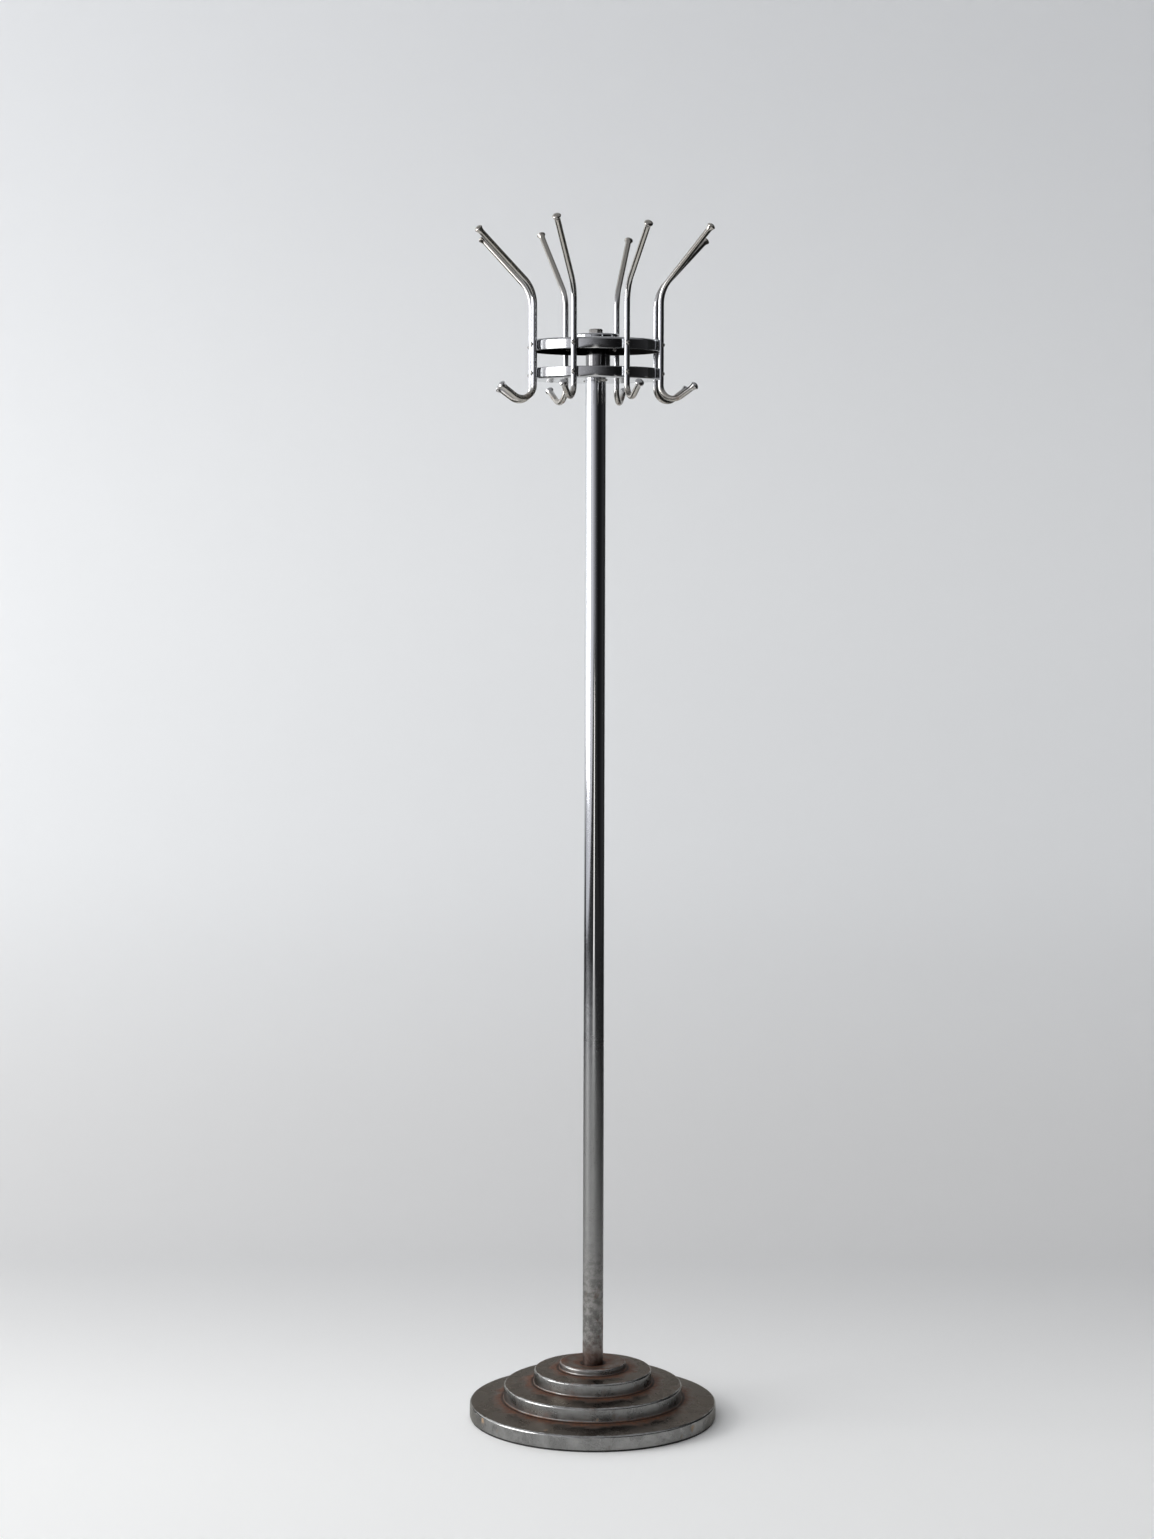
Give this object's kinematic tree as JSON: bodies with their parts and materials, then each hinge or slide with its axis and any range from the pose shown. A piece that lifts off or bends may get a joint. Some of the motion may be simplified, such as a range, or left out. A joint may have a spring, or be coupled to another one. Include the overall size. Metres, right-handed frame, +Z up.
{
  "type": "coat rack",
  "caption": "Free-standing chromed steel coat rack: stepped round cast foot, straight tube pole, and a fixed head of two round pans with bent rods that end in upper arms and lower hooks.",
  "frame": {"origin": "middle of the foot, on the floor", "axes": "+Z up the pole; +X through the first rod, rods follow counter-clockwise seen from above"},
  "size_m": [0.343, 0.3488, 1.6474],
  "materials": {
    "plated_iron": "worn nickel plate on cast iron, polished on the edges, rust in the creases",
    "floor_ring": "matt black",
    "plain_steel": "unplated steel, dull",
    "pole_chrome": "bright chrome, hazed and pitted towards the foot",
    "head_chrome": "bright chrome with faint spinning marks",
    "rod_chrome": "bright chrome, slightly warm with age on the arms",
    "fastener_nickel": "worn nickel plate"
  },
  "bodies": {
    "root": {"base_casting": "plated_iron", "base_floor_ring": "floor_ring", "base_bolt": "plain_steel", "base_washer": "plain_steel", "base_lock_washer": "plain_steel", "pole_tube": "pole_chrome", "pole_lower_plug": "plain_steel", "pole_upper_plug": "plain_steel", "lower_pan": "head_chrome", "upper_pan": "head_chrome", "pan_screws": "fastener_nickel", "head_spacer": "pole_chrome", "top_cap": "head_chrome", "top_lock_washer": "fastener_nickel", "top_bolt": "fastener_nickel", "upper_rivets": "fastener_nickel", "lower_rivets": "fastener_nickel", "hook_1": "rod_chrome", "hook_2": "rod_chrome", "hook_3": "rod_chrome", "hook_4": "rod_chrome", "hook_5": "rod_chrome", "hook_6": "rod_chrome", "hook_7": "rod_chrome", "hook_8": "rod_chrome"}
  },
  "joints": []
}
